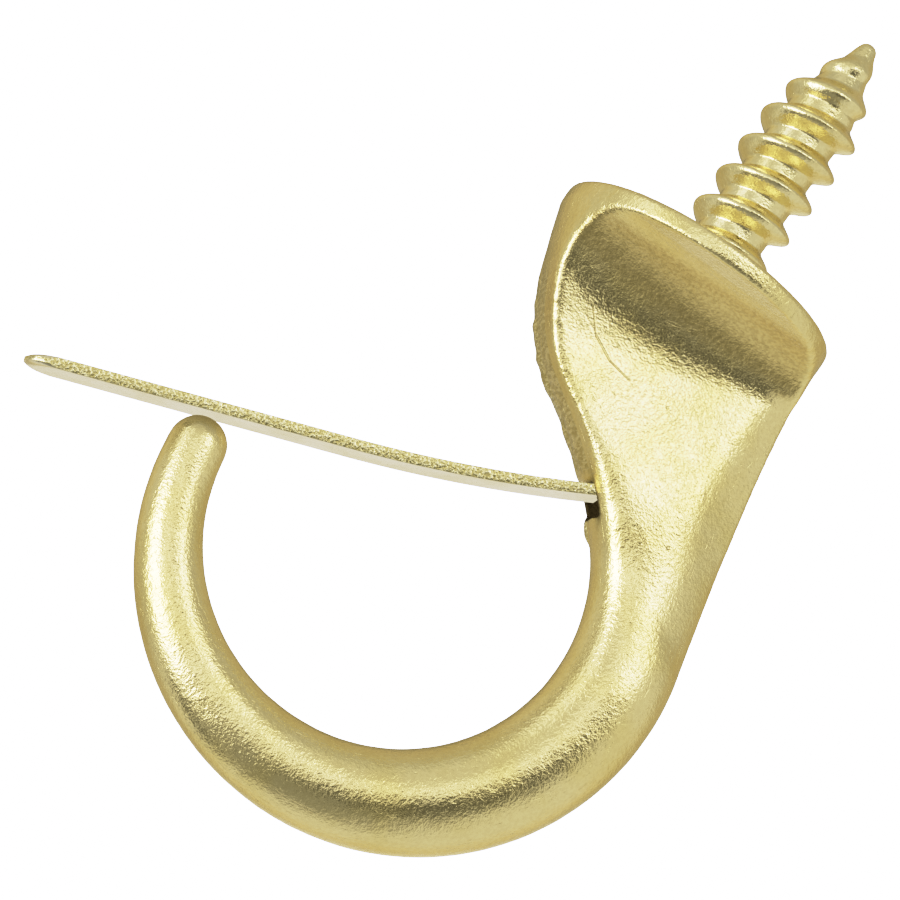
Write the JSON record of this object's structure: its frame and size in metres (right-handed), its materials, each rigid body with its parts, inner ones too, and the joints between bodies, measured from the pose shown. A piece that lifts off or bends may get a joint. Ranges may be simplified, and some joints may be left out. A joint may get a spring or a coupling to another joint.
{
  "type": "safety cup hook",
  "caption": "Brass screw-in cup hook with a round seat, a scooped neck, a tapered round hook and a flat spring latch that closes the throat.",
  "frame": {"origin": "centre of the round seat, on the screw's axis, in the plane that meets the wood", "axes": "+Z along the screw, away from the hook; -X towards the throat and the latch's free end; Y across the hook"},
  "size_m": [0.0324, 0.0138, 0.045],
  "materials": {
    "cast_brass": "tumbled satin brass with fine marks",
    "spring_brass": "rolled strip, bright faces and rough sheared edges"
  },
  "bodies": {
    "hook": {"hook_body": "cast_brass"},
    "latch": {"spring_latch": "spring_brass"}
  },
  "joints": [
    {"name": "latch_lift", "type": "hinge", "parent": "hook", "child": "latch", "pos_m": [0.00136, 0, -0.01137], "axis": [0, 1, 0], "range_deg": [0, 25], "stiffness_Nm_per_rad": 0.2, "springref_deg": -5.73}
  ]
}
